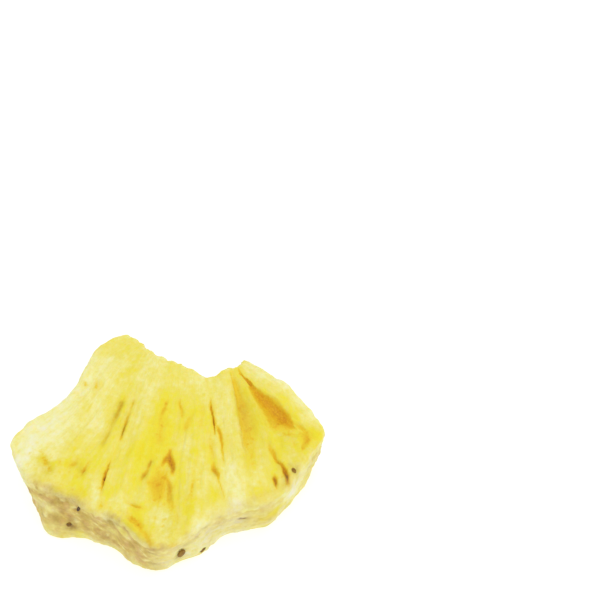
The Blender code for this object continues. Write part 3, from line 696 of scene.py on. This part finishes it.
TONE_SPOTS = (
    (-20.9, -41.5, 0.9, -0.20), (-8.8, -46.0, 1.4, -0.22), (-9.6, -33.4, 1.1, -0.10),
    (-10.6, -40.2, 0.9, -0.08), (2.0, -34.2, 1.2, -0.14), (3.4, -19.8, 0.8, -0.12),
    (-5.0, -15.4, 1.4, -0.16), (-7.7, -35.8, 0.9, 0.10), (-4.1, -36.7, 0.7, 0.25),
    (-5.0, -40.2, 0.6, 0.20), (-11.0, -43.8, 0.8, 0.16), (-2.6, -48.1, 1.2, -0.28),
    (5.9, -48.2, 1.2, -0.24), (15.5, -43.3, 0.9, 0.12), (7.6, -43.5, 0.8, 0.14),
    (-2.3, -51.0, 0.8, -0.26), (18.4, -31.5, 0.4, -0.35), (9.2, -44.8, 0.9, 0.14),
)
TONE_GRAIN = ((4.0, 26.0, 0.14), (1.5, 12.0, 0.14), (0.7, 6.0, 0.10))
TONE_GRAIN_OFFSET = 20
TONE_CLOUDS = ((2.2, 0.14), (0.9, 0.12))
TONE_CLOUD_OFFSET = 50.0
PALE_RIM = 0.15
PALE_RIM_REACH = 0.9
WALL_TONE = 0.20
WALL_TONE_SHARE = 0.7

tone = np.full(len(places), BASE_TONE)
for change in bands(places[:, :2], TONE_BANDS):
    tone += change
for x, y, half_width, change in TONE_SPOTS:
    tone += change * bell(np.hypot(places[:, 0] - x, places[:, 1] - y), 0.0, half_width)
tone -= PALE_RIM * upward * np.exp(-to_rim[i, j] / PALE_RIM_REACH)
tone = mix(tone, WALL_TONE, WALL_TONE_SHARE * sideways)
for size, length, rise in TONE_GRAIN:
    level = places[:, 2] / size + TONE_GRAIN_OFFSET
    fibres = fibre_grain(at_across, at_along, size, length, level)
    tone += rise * mix(fade, 1 + CUT_FIBRES, on_cut) * fibres
for size, rise in TONE_CLOUDS:
    tone += rise * cloud(places, size, TONE_CLOUD_OFFSET)

# Parts of the top that are mottled with golden blots: place, half width and strength
MOTTLED_BASE = 0.12
MOTTLED_BANDS = (
    ((-24.0, -36.2, 1.4, 0.8), (-21.0, -38.2, 1.6, 0.8), (-17.0, -38.4, 1.8, 0.7), (-11.0, -42.5, 1.8, 0.4)),
    ((-22.0, -41.0, 1.2, 0.4), (-19.0, -42.6, 1.4, 0.7), (-15.6, -43.6, 1.2, 0.7), (-13.0, -45.6, 0.8, 0.2),
     (-9.0, -46.0, 1.2, 0.5)),
    ((-2.8, -26.5, 1.0, 0.5), (-3.2, -30.0, 1.4, 0.7), (-3.6, -33.5, 1.6, 0.5)),
    ((-2.0, -39.5, 1.4, 0.6), (-2.0, -43.0, 1.8, 0.9), (-1.0, -46.5, 2.0, 0.6), (-1.5, -50.5, 2.0, 0.6)),
    ((-6.5, -47.0, 1.2, 0.6), (-4.6, -50.0, 1.2, 0.7)),
    ((2.0, -28.6, 1.0, 0.4), (3.8, -33.0, 1.2, 0.3), (3.4, -42.5, 1.2, 0.5), (3.2, -46.5, 1.2, 0.6)),
    ((10.6, -23.5, 0.8, 0.4), (12.2, -28.5, 1.2, 0.6), (13.4, -34.0, 1.2, 0.6), (14.6, -41.0, 1.2, 0.3)),
    ((17.4, -30.0, 1.4, 0.6), (21.8, -33.0, 1.8, 0.7), (22.4, -36.0, 1.2, 0.4)),
    ((17.6, -38.6, 1.2, 0.5), (19.8, -40.6, 1.2, 0.6)),
)
STAIN_AND_SHADE_FOOT = 9.5
STAIN_AND_SHADE_BLEND = 2.5
mottled = np.full(len(places), MOTTLED_BASE)
for strength in bands(places[:, :2], MOTTLED_BANDS):
    mottled = np.maximum(mottled, strength)
mottled *= upward
# The crease stain, partly painted shade, kept on the top and faded down the upper wall
stained_and_shaded = stain[i, j] * np.where(is_top, 1.0, ease((places[:, 2] - STAIN_AND_SHADE_FOOT) / STAIN_AND_SHADE_BLEND))

# The rind side is tanned, most on the left, with a paler foot; the cut sides and the right of the
# rind side are creamier, and the right is less crackled. The darker left is partly painted shade, with
# the light on the right, and the paler foot is partly painted light against the shade near the floor.
# Patches have an angle, height, half width and amount, and uneven borders have an amount, size and
# offset of noise.
TAN_START = -35.5
TAN_START_BLEND = 5.0
TAN_START_UNEVENNESS = 4.0
TAN_TOP = 11.6
TAN_TOP_BLEND = 1.2
TAN_TOP_UNEVENNESS = 1.6
TAN_UNEVENNESS = ((1.0, 2.2, 90.0), (0.6, 0.8, 95.0))
TAN_ANGLES = (-6.0, 4.0)
# How tan the right of the rind side is next to the left: partly a creamier side, partly painted light
RIGHT_TAN = 0.44
RIGHT_CRACKLE = 0.4
CUT_TAN = 0.10
# A paler foot, partly painted light against the shade near the floor: its height, uneven border and the tan
# left
PALE_FOOT_HEIGHT = 3.6
PALE_FOOT_UNEVENNESS = (1.6, 2.0, 70.0)
PALE_FOOT = 0.22
TOP_START = 10.2
TOP_BLEND = 1.4
TAN_BANDS = (
    ((11.0, -24.0, 0.5, 0.08), (11.9, -26.5, 0.8, 0.16), (12.6, -29.5, 1.0, 0.12)),
    ((7.6, -47.4, 0.8, 0.24), (12.2, -45.5, 0.8, 0.34), (17.2, -43.7, 0.7, 0.34), (20.4, -41.0, 0.8, 0.34),
     (21.4, -38.6, 0.7, 0.30)),
    ((24.0, -37.6, 0.7, 0.34), (25.2, -33.8, 0.5, 0.16)),
    ((-24.6, -41.2, 0.8, 0.80), (-22.0, -42.9, 0.9, 0.95), (-19.2, -44.2, 0.9, 0.95),
     (-16.4, -45.0, 1.0, 1.00), (-14.8, -46.0, 0.8, 0.80), (-13.0, -47.0, 0.5, 0.30),
     (-10.4, -47.8, 0.6, 0.70), (-7.6, -49.4, 0.5, 0.20), (-3.8, -52.4, 0.6, 0.45),
     (-1.0, -53.4, 0.6, 0.40), (2.0, -52.8, 0.6, 0.25)),
)
TAN_PATCHES = (
    (-29.6, 7.6, 1.2, -0.45), (-27.3, 7.6, 0.9, -0.35), (-25.6, 7.2, 0.9, -0.40), (-27.5, 3.4, 1.2, -0.35),
    (-20.0, 1.8, 2.0, -0.30), (-15.8, 9.4, 1.2, -0.15), (-12.2, 7.0, 1.0, -0.40), (-9.4, 9.3, 0.9, -0.50),
    (-11.8, 2.2, 1.3, -0.15), (-1.0, 4.8, 2.4, -0.38), (4.5, 5.0, 2.2, -0.25), (9.9, 9.6, 1.3, 0.25),
    (14.8, 10.7, 1.3, 0.25), (18.4, 10.3, 1.3, 0.22), (10.8, 3.3, 1.4, -0.15), (26.5, 8.4, 2.4, -0.38),
    (29.6, 4.7, 2.0, -0.40), (22.3, 7.0, 1.3, -0.20),
)
YELLOW_PATCHES = (
    (22.3, 7.0, 1.3, 0.60), (19.9, 5.1, 1.2, 0.50), (27.0, 8.0, 2.4, -0.34), (-9.4, 9.3, 0.9, 0.35),
    (-20.8, 1.8, 1.8, 0.25), (-17.4, 10.6, 1.0, 0.35), (6.0, 5.0, 3.0, -0.12), (14.0, 7.5, 2.6, -0.06),
)
BROWN_PATCHES = (
    (-21.9, 4.2, 0.70, 0.7), (-24.4, 10.4, 0.50, 0.4), (-22.0, 6.2, 0.50, 0.3), (-12.0, 10.3, 0.80, 0.35),
    (-10.4, 11.0, 0.50, 0.2), (-28.4, 5.0, 0.60, 0.25), (-25.0, 5.8, 0.60, 0.35), (-26.5, 8.8, 0.40, 0.3),
    (-14.3, 4.1, 1.00, 0.25), (-18.6, 8.4, 0.80, 0.15), (-20.8, 6.6, 0.50, 0.2), (-23.0, 8.6, 0.50, 0.2),
    (-6.5, 5.7, 1.20, 0.08), (-3.1, 8.3, 0.70, 0.30), (-2.7, 10.8, 0.60, 0.30), (-3.8, 3.3, 0.70, 0.30),
    (14.4, 7.3, 0.32, 0.8), (15.1, 6.8, 0.32, 0.9), (16.2, 6.4, 0.40, 0.2), (7.0, 9.7, 0.45, 0.2),
    (5.0, 8.3, 0.45, 0.25), (2.9, 7.5, 0.45, 0.25), (1.2, 3.4, 0.70, 0.4),
)
# Browner places in the creases of the top, partly real browning and partly painted shade: place, half
# width and amount
BROWN_AND_SHADE_BANDS = (
    ((-8.5, -24.6, 0.25, 0.16), (-8.9, -26.6, 0.20, 0.06), (-9.3, -29.0, 0.28, 0.18),
     (-9.7, -31.4, 0.22, 0.30)),
    ((-10.7, -24.8, 0.44, 0.26), (-11.3, -27.2, 0.44, 0.24), (-12.0, -29.5, 0.40, 0.08)),
    ((-12.4, -31.0, 0.40, 0.10), (-13.0, -33.4, 0.40, 0.12)),
    ((-4.2, -37.6, 0.32, 0.20), (-4.5, -38.6, 0.25, 0.06), (-4.9, -39.9, 0.36, 0.20)),
    ((-1.0, -36.0, 0.40, 0.04), (-0.6, -37.6, 0.50, 0.10), (-0.1, -38.8, 0.35, 0.20)),
    ((11.5, -23.0, 1.80, 0.04), (13.6, -30.0, 2.40, 0.06), (14.4, -36.0, 2.00, 0.04)),
    ((17.6, -30.0, 1.80, 0.04), (20.6, -33.0, 2.40, 0.05), (21.6, -37.0, 1.60, 0.04)),
    ((0.6, -44.5, 2.40, 0.03), (0.4, -50.0, 2.40, 0.05)),
    ((-0.5, -41.8, 0.40, 0.12), (-0.2, -44.4, 0.50, 0.14)),
    ((10.9, -24.4, 0.50, 0.06), (11.6, -26.6, 0.60, 0.12), (12.2, -28.8, 0.50, 0.04)),
    ((18.4, -37.7, 0.40, 0.08), (19.5, -39.6, 0.40, 0.18), (19.8, -41.0, 0.50, 0.18)),
    ((17.5, -40.3, 0.30, 0.14), (17.9, -41.4, 0.30, 0.14)),
    ((-21.6, -42.8, 0.70, 0.14), (-19.0, -44.0, 0.70, 0.22), (-16.4, -44.8, 0.80, 0.24)),
    ((-16.4, -44.8, 0.80, 0.24), (-14.8, -45.8, 0.60, 0.14)),
    ((-10.4, -47.3, 0.50, 0.14), (-8.6, -48.2, 0.50, 0.08), (-4.0, -52.2, 0.60, 0.10)),
    ((7.2, -38.9, 0.34, 0.10), (7.6, -39.8, 0.34, 0.20)),
    ((-23.2, -36.8, 0.60, 0.06), (-21.6, -38.8, 0.90, 0.10)),
    ((-17.0, -37.4, 0.60, 0.10), (-15.4, -39.4, 0.50, 0.14)),
    ((20.2, -38.0, 0.35, 0.14), (21.4, -39.2, 0.50, 0.16)),
)


def add_patches(values, patches):
    """Adds rounded patches of the rind side to the values at the places."""
    for degrees, height, half_width, amount in patches:
        away = np.linalg.norm(places - on_rind_side(degrees, height), axis=1)
        values += amount * bell(away, 0.0, half_width)


right_share = ease((angle - TAN_ANGLES[0]) / (TAN_ANGLES[1] - TAN_ANGLES[0]))
amount, size, offset = PALE_FOOT_UNEVENNESS
foot_share = ease(1 - (places[:, 2] + amount * cloud(places, size, offset)) / PALE_FOOT_HEIGHT)
# Less tan on the right and at the foot, which is partly real and partly painted light
tan = mix(1.0, RIGHT_TAN, right_share) * mix(1.0, PALE_FOOT, foot_share)
add_patches(tan, TAN_PATCHES)
uneven = sum(amount * cloud(places, size, offset) for amount, size, offset in TAN_UNEVENNESS)
below_rim = ease((TAN_TOP + TAN_TOP_UNEVENNESS * uneven - places[:, 2]) / TAN_TOP_BLEND)
right_of_start = ease((angle + TAN_START_UNEVENNESS * uneven - TAN_START) / TAN_START_BLEND)
tan = tan * below_rim * (1 - downward) * near_rind * right_of_start
tan += CUT_TAN * on_cut
on_top = ease((places[:, 2] - TOP_START) / TOP_BLEND)
for strength in bands(warped[:, :2], TAN_BANDS):
    tan = np.maximum(tan, on_top * strength)
add_patches(tone, YELLOW_PATCHES)
browned = np.zeros(len(places))
add_patches(browned, BROWN_PATCHES)
browned *= rind_wall
for strength in bands(warped[:, :2], BROWN_AND_SHADE_BANDS):
    browned = np.maximum(browned, on_top * strength)


def keep_values(name, values):
    """Keeps one number for each vertex of the flesh under a name, for its material."""
    layer = flesh_mesh.attributes.new(name, "FLOAT", "POINT")
    layer.data.foreach_set("value", values.astype(np.float32))


keep_values("tone", tone)
keep_values("stain", stained_and_shaded)
keep_values("tan", tan)
keep_values("mottled", mottled)
crackle = cell_edge * mix(1.0, RIGHT_CRACKLE, right_share)
keep_values("cell_edge", crackle * rind_wall * right_of_start * below_rim)
keep_values("browned", browned)
fibre_space = np.stack((at_across * FIBRE_SPREAD, at_along * FIBRE_LENGTH, places[:, 2]), axis=1)
layer = flesh_mesh.attributes.new("fibre_space", "FLOAT_VECTOR", "POINT")
layer.data.foreach_set("vector", fibre_space.astype(np.float32).ravel())
flesh_mesh.shade_smooth()


def add_object(name, data):
    """Adds an object to the scene, with a mesh, a light or a camera in it."""
    made = bpy.data.objects.new(name, data)
    bpy.context.scene.collection.objects.link(made)
    return made


flesh = add_object("dried_flesh_wedge", flesh_mesh)
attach(flesh, "root")
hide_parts("pineapple_slice")


class Value:
    """An output of a shader node. Python's operators on it add Math nodes."""

    def __init__(self, tree, socket):
        self.tree = tree
        self.socket = socket

    def node(self, kind, settings, sockets, output=0):
        """Adds a node, sets it, fills its sockets with values or links, and gives one output."""
        made = self.tree.nodes.new(kind)
        for name, setting in settings.items():
            if name == "stops":
                fill_ramp(made.color_ramp, setting)
            else:
                setattr(made, name, setting)
        for name, value in sockets.items():
            target = next(socket for socket in made.inputs if name in (socket.identifier, socket.name))
            if isinstance(value, Value):
                self.tree.links.new(value.socket, target)
            else:
                target.default_value = value
        return Value(self.tree, made.outputs[output])

    def maths(self, operation, first, second):
        """Adds a Math node."""
        return self.node("ShaderNodeMath", {"operation": operation}, {"Value": first, "Value_001": second})

    def __add__(self, other):
        return self.maths("ADD", self, other)

    def __sub__(self, other):
        return self.maths("SUBTRACT", self, other)

    def __rsub__(self, other):
        return self.maths("SUBTRACT", other, self)

    def __mul__(self, other):
        return self.maths("MULTIPLY", self, other)

    __radd__ = __add__
    __rmul__ = __mul__

    def clipped(self):
        """The value held between 0 and 1."""
        return self.node("ShaderNodeClamp", {}, {"Value": self})

    def ramp(self, stops):
        """The value turned into a colour."""
        return self.node("ShaderNodeValToRGB", {"stops": stops}, {"Fac": self})

    def mixed(self, other, share):
        """This colour mixed with another. A Mix node gives its colour at its third output."""
        sockets = {"Factor_Float": share, "A_Color": self, "B_Color": other}
        return self.node("ShaderNodeMix", {"data_type": "RGBA"}, sockets, output=2)

    def feed(self, shader, name):
        """Links this value to one of the shader's sockets."""
        self.tree.links.new(self.socket, shader.inputs[name])


def fill_ramp(ramp, stops):
    """Gives a colour ramp its stops."""
    while len(ramp.elements) < len(stops):
        ramp.elements.new(1.0)
    for element, (position, colour) in zip(ramp.elements, stops):
        element.position = position
        element.color = colour


def seen(*parts):
    """Red, green and blue as they are seen on a screen, 0 to 255, turned into light."""
    light = [((part / 255 + 0.055) / 1.055) ** 2.4 if part > 10 else part / 3294.6 for part in parts]
    return (*light, 1.0)


def new_material(name):
    """A material, its shader, and an empty value to start its node maths from."""
    material = bpy.data.materials.new(name)
    material.use_nodes = True
    shader = material.node_tree.nodes["Principled BSDF"]
    return material, shader, Value(material.node_tree, None)


def set_sockets(node, values):
    """Sets a node's own sockets to values that are the same all over."""
    for name, value in values.items():
        node.inputs[name].default_value = value


FLESH_TONES = (
    (0.00, seen(248, 245, 210)), (0.25, seen(246, 240, 166)), (0.50, seen(242, 231, 126)),
    (0.66, seen(240, 226, 98)), (0.80, seen(240, 227, 70)), (1.00, seen(240, 222, 44)),
)
# Colours of the crease stain, golden to nearly black: partly real browning, partly painted shade
STAIN_AND_SHADE_TONES = (
    (0.00, seen(241, 226, 78)), (0.25, seen(238, 207, 44)), (0.45, seen(229, 178, 24)),
    (0.62, seen(210, 147, 16)), (0.80, seen(150, 96, 26)), (1.00, seen(60, 40, 22)),
)
TAN_TONES = ((0.00, seen(192, 156, 80)), (0.45, seen(221, 194, 100)), (1.00, seen(241, 227, 136)))
PINK_TAN = seen(222, 182, 126)
OLIVE_TAN = seen(208, 188, 84)
CELL_LIGHT = seen(250, 240, 172)
# Colour of the cell borders, partly painted shade in the crevices between cells, and of dark specks
CELL_BORDER = seen(190, 146, 92)
BROWN = seen(134, 88, 36)

# Streaks to a millimetre across the fibres, along them and upwards
BROAD_STREAKS = (1.5, 0.2, 1.5)
FINE_STREAKS = (4.0, 0.6, 4.0)

# How much each noise moves the tone
BROAD_TONE = 0.24
FINE_TONE = 0.28
GRIT_TONE = 0.24
MOTTLE_TONE = 0.34
MOTTLED_TONE = 0.5

# Where the tan turns pink or olive, and how much its cells and specks show
TAN_CONTRAST = 2.4
PINK_LEVEL = 0.5
OLIVE_LEVEL = 0.47
HUE_STEEPNESS = 6.0
HUE_SHARE = 0.6
CELL_LIGHT_SHARE = 0.8
CELL_BORDER_SHARE = 0.55
GRIT_LEVEL = 0.55
GRIT_SHARE = 0.3
BLOT_LEVEL = 0.54
BLOT_STAIN = 0.34
SPECK_STEEPNESS = 5.0
DRY_ROUGHNESS = 0.80
STAIN_SHEEN = 0.20

material, shader, start = new_material("dried_flesh")


def kept(name):
    """The numbers kept on the mesh under a name, in the material at hand."""
    return start.node("ShaderNodeAttribute", {"attribute_name": name}, {}, output="Fac")


def streaks(scale, detail):
    """Noise that is drawn out along the fibres, from 0 to 1."""
    spot = start.node("ShaderNodeAttribute", {"attribute_name": "fibre_space"}, {}, output="Vector")
    place = start.node("ShaderNodeMapping", {}, {"Vector": spot, "Scale": scale})
    return start.node("ShaderNodeTexNoise", {}, {"Vector": place, "Scale": 1.0, "Detail": detail})


def speckle(size, detail):
    """Noise of a size in millimetres, from 0 to 1."""
    place = start.node("ShaderNodeTexCoord", {}, {}, output="Object")
    return start.node("ShaderNodeTexNoise", {}, {"Vector": place, "Scale": 1 / (size * MM), "Detail": detail})


def swing(texture, amount):
    """Noise from 0 to 1, turned into a change that goes as far each way."""
    return (texture - 0.5) * amount


def past(value, level, steepness):
    """How far a value is past a level, from 0 to 1."""
    return ((value - level) * steepness).clipped()


broad = streaks(BROAD_STREAKS, 3.0)
fine = streaks(FINE_STREAKS, 2.0)
mottle = speckle(0.8, 3.0)
grit = speckle(0.35, 3.0)
tone_value = kept("tone") + swing(broad, BROAD_TONE) + swing(fine, FINE_TONE) + swing(grit, GRIT_TONE)
tone_value = tone_value + swing(mottle, kept("mottled") * MOTTLED_TONE + MOTTLE_TONE)
flesh_colour = tone_value.clipped().ramp(FLESH_TONES)
blotch = speckle(1.9, 4.0)
hue = speckle(2.3, 3.0)
tan_colour = (swing(blotch, TAN_CONTRAST) + 0.5).clipped().ramp(TAN_TONES)
tan_colour = tan_colour.mixed(PINK_TAN, past(hue, PINK_LEVEL, HUE_STEEPNESS) * HUE_SHARE)
tan_colour = tan_colour.mixed(OLIVE_TAN, past(OLIVE_LEVEL, hue, HUE_STEEPNESS) * HUE_SHARE)
in_cell = (1 - kept("cell_edge") * 2.0).clipped() * (blotch * 3.2 - 1.1).clipped()
tan_colour = tan_colour.mixed(CELL_LIGHT, (in_cell * kept("tan")).clipped() * CELL_LIGHT_SHARE)
# Darker cell borders, partly real and partly painted shade in the crevices between the cells
on_border = (kept("cell_edge") * (mottle * 3.0 - 1.2)).clipped()
tan_colour = tan_colour.mixed(CELL_BORDER, on_border * CELL_BORDER_SHARE)
tan_colour = tan_colour.mixed(CELL_BORDER, past(grit, GRIT_LEVEL, SPECK_STEEPNESS) * GRIT_SHARE)
blots = past(speckle(1.1, 4.0), BLOT_LEVEL, SPECK_STEEPNESS) * kept("mottled")
# The crease stain, partly painted shade in creases and hollows, with the golden blots added
stain_and_shade_value = (kept("stain") * (0.45 + 0.5 * fine + 0.7 * grit) + blots * BLOT_STAIN).clipped()
stain_and_shade_share = (stain_and_shade_value * 4.0).clipped()
colour = flesh_colour.mixed(stain_and_shade_value.ramp(STAIN_AND_SHADE_TONES), stain_and_shade_share)
colour = colour.mixed(tan_colour, kept("tan").clipped())
# Brown patches of the rind side, and brown in the creases of the top that is partly painted shade
brown_and_shade_share = (kept("browned") * (blotch + grit * 1.2)).clipped()
colour.mixed(BROWN, brown_and_shade_share).feed(shader, "Base Color")

roughness = DRY_ROUGHNESS - STAIN_SHEEN * stain_and_shade_share
roughness.feed(shader, "Roughness")
height = fine * 0.3 + speckle(0.3, 3.0) * 0.4 + speckle(0.7, 3.0) * 0.6
bump = start.node("ShaderNodeBump", {}, {"Strength": 0.7, "Distance": 0.18 * MM, "Height": height})
bump.feed(shader, "Normal")
set_sockets(shader, {
    "Subsurface Weight": 0.25, "Subsurface Radius": (1.0, 0.7, 0.25), "Subsurface Scale": 0.8 * MM,
    "Specular IOR Level": 0.25,
})
flesh_mesh.materials.append(material)

# The seeds
# A few small, flat, dark brown seeds stay in the rind side and one in the top, each half sunk in a
# pit of the flesh that grew round it.

SEED_THICKNESS = 0.45
SEED_RISE = 0.06
SEED_TAPER = 0.25
SEED_TAPER_CURVE = 1.5


def add_seed(bm, place, normal, upwards, length, width, turn, paleness):
    """Adds one seed, flat in its pit, narrower at its lower end."""
    made = bmesh.ops.create_uvsphere(bm, u_segments=20, v_segments=14, radius=0.5)["verts"]
    for vert in made:
        narrowing = 1 - SEED_TAPER * max(0.0, -2 * vert.co.y) ** SEED_TAPER_CURVE
        vert.co.x *= narrowing
        vert.co.z *= narrowing
        vert[seed_paleness] = paleness
    sideways = upwards.cross(normal).normalized()
    lying = Matrix((sideways, normal.cross(sideways), normal)).transposed().to_4x4()
    turned = lying @ Matrix.Rotation(math.radians(turn), 4, "Z")
    size = Matrix.Diagonal((width, length, width * SEED_THICKNESS, 1.0))
    raised = Matrix.Translation(place + normal * width * SEED_RISE)
    bmesh.ops.transform(bm, verts=made, matrix=raised @ turned @ size)


seed_bm = bmesh.new()
seed_paleness = seed_bm.verts.layers.float.new("paleness")
for degrees, seed_height, *form in SEEDS:
    nearest = np.argmin(np.linalg.norm(places - on_rind_side(degrees, seed_height), axis=1))
    add_seed(seed_bm, Vector(places[nearest]), Vector(normal[nearest]), Vector((0.0, 0.0, 1.0)), *form)
x, y, *form = TOP_SEED
nearest = np.argmin(np.where(is_top, np.hypot(places[:, 0] - x, places[:, 1] - y), np.inf))
add_seed(seed_bm, Vector(places[nearest]), Vector(normal[nearest]), Vector((0.0, 1.0, 0.0)), *form)
bmesh.ops.translate(seed_bm, verts=seed_bm.verts, vec=(*RING_CENTRE, 0.0))
bmesh.ops.scale(seed_bm, verts=seed_bm.verts, vec=(MM, MM, MM))
seed_mesh = mesh_from(seed_bm, "seeds")
seed_mesh.shade_smooth()
seeds = add_object("seeds", seed_mesh)
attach(seeds, "root")
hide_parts("pineapple_slice")

SEED_TONES = (
    (0.10, seen(78, 54, 46)), (0.35, seen(104, 86, 56)), (0.60, seen(138, 100, 38)),
    (1.00, seen(164, 128, 54)),
)
material, shader, start = new_material("seed_coat")
seed_value = kept("paleness") * 0.8 + swing(speckle(0.5, 3.0), 1.2) + 0.1
seed_value.clipped().ramp(SEED_TONES).feed(shader, "Base Color")
set_sockets(shader, {"Roughness": 0.75, "Specular IOR Level": 0.2})
seed_mesh.materials.append(material)

# The floor, the light and the camera
# A pale sheet under soft light from above and from the right, seen from the photograph's height.

FLOOR_HALF_SIZE = 1.5
FLOOR_GAP = 0.00005
WHITE = (1.0, 1.0, 1.0, 1.0)
LIGHT_PLACE = Vector((0.13, -0.04, 0.56))

floor_bm = bmesh.new()
bmesh.ops.create_grid(floor_bm, x_segments=1, y_segments=1, size=FLOOR_HALF_SIZE)
bmesh.ops.translate(floor_bm, verts=floor_bm.verts, vec=(0.0, 0.0, -FLOOR_GAP))
floor_mesh = mesh_from(floor_bm, "floor")
floor = add_object("floor", floor_mesh)
material, shader, _ = new_material("pale_floor")
set_sockets(shader, {
    "Base Color": (0.5, 0.5, 0.5, 1.0), "Roughness": 0.9, "Specular IOR Level": 0.1,
    "Emission Color": WHITE, "Emission Strength": 0.64,
})
floor_mesh.materials.append(material)
floor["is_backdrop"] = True

world = bpy.data.worlds.new("studio")
world.use_nodes = True
set_sockets(world.node_tree.nodes["Background"], {"Color": WHITE, "Strength": 0.70})
bpy.context.scene.world = world

lamp = bpy.data.lights.new("key", "AREA")
lamp.size = 0.40
lamp.energy = 1.14
light = add_object("key", lamp)
light.location = LIGHT_PLACE
light.rotation_euler = (-LIGHT_PLACE).to_track_quat("-Z", "Y").to_euler()

CAMERA_TILT = 40.0
CAMERA_PLACE = (0.023393, -0.089738, 0.155737)
LENS = 56.1
camera_data = bpy.data.cameras.new("camera")
camera_data.lens = LENS
camera_data.clip_start = 0.01
camera = add_object("camera", camera_data)
camera.location = CAMERA_PLACE
camera.rotation_euler = (math.radians(CAMERA_TILT), 0.0, 0.0)
bpy.context.scene.camera = camera
bpy.context.scene.view_settings.view_transform = "Standard"

boxes = [[list(corner) for corner in box] for box in (cad_box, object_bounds())]
